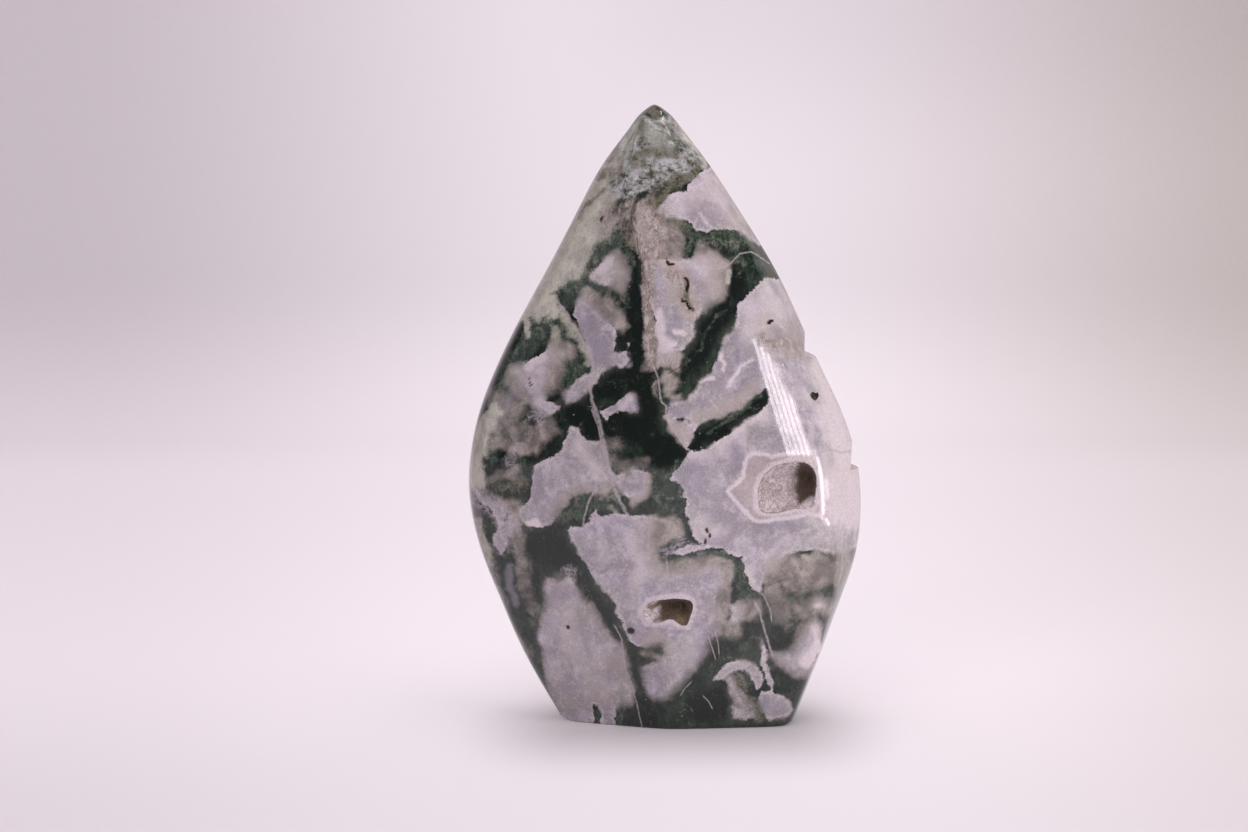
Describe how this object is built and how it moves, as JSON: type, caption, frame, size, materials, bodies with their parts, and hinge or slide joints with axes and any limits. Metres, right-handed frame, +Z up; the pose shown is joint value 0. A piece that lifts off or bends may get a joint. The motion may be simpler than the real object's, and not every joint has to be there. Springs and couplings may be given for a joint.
{
  "type": "moss agate flame carving",
  "caption": "Polished freeform flame of moss agate that stands on a flat base and rises to a rounded point, with crystal-lined hollows in its front.",
  "frame": {"origin": "on the base plane, under the middle of the stone's width and thickness", "axes": "+Z up from the base to the tip, +X to the right as seen from the front, -Y towards the front with the hollows"},
  "size_m": [0.064, 0.031, 0.1],
  "materials": {
    "agate": "polished, mottled grey-white and dark green",
    "druse": "sparkling crystal faces"
  },
  "bodies": {
    "root": {"flame_stone": "agate", "upper_crystal_crust": "druse", "lower_crystal_crust": "druse"}
  },
  "joints": []
}
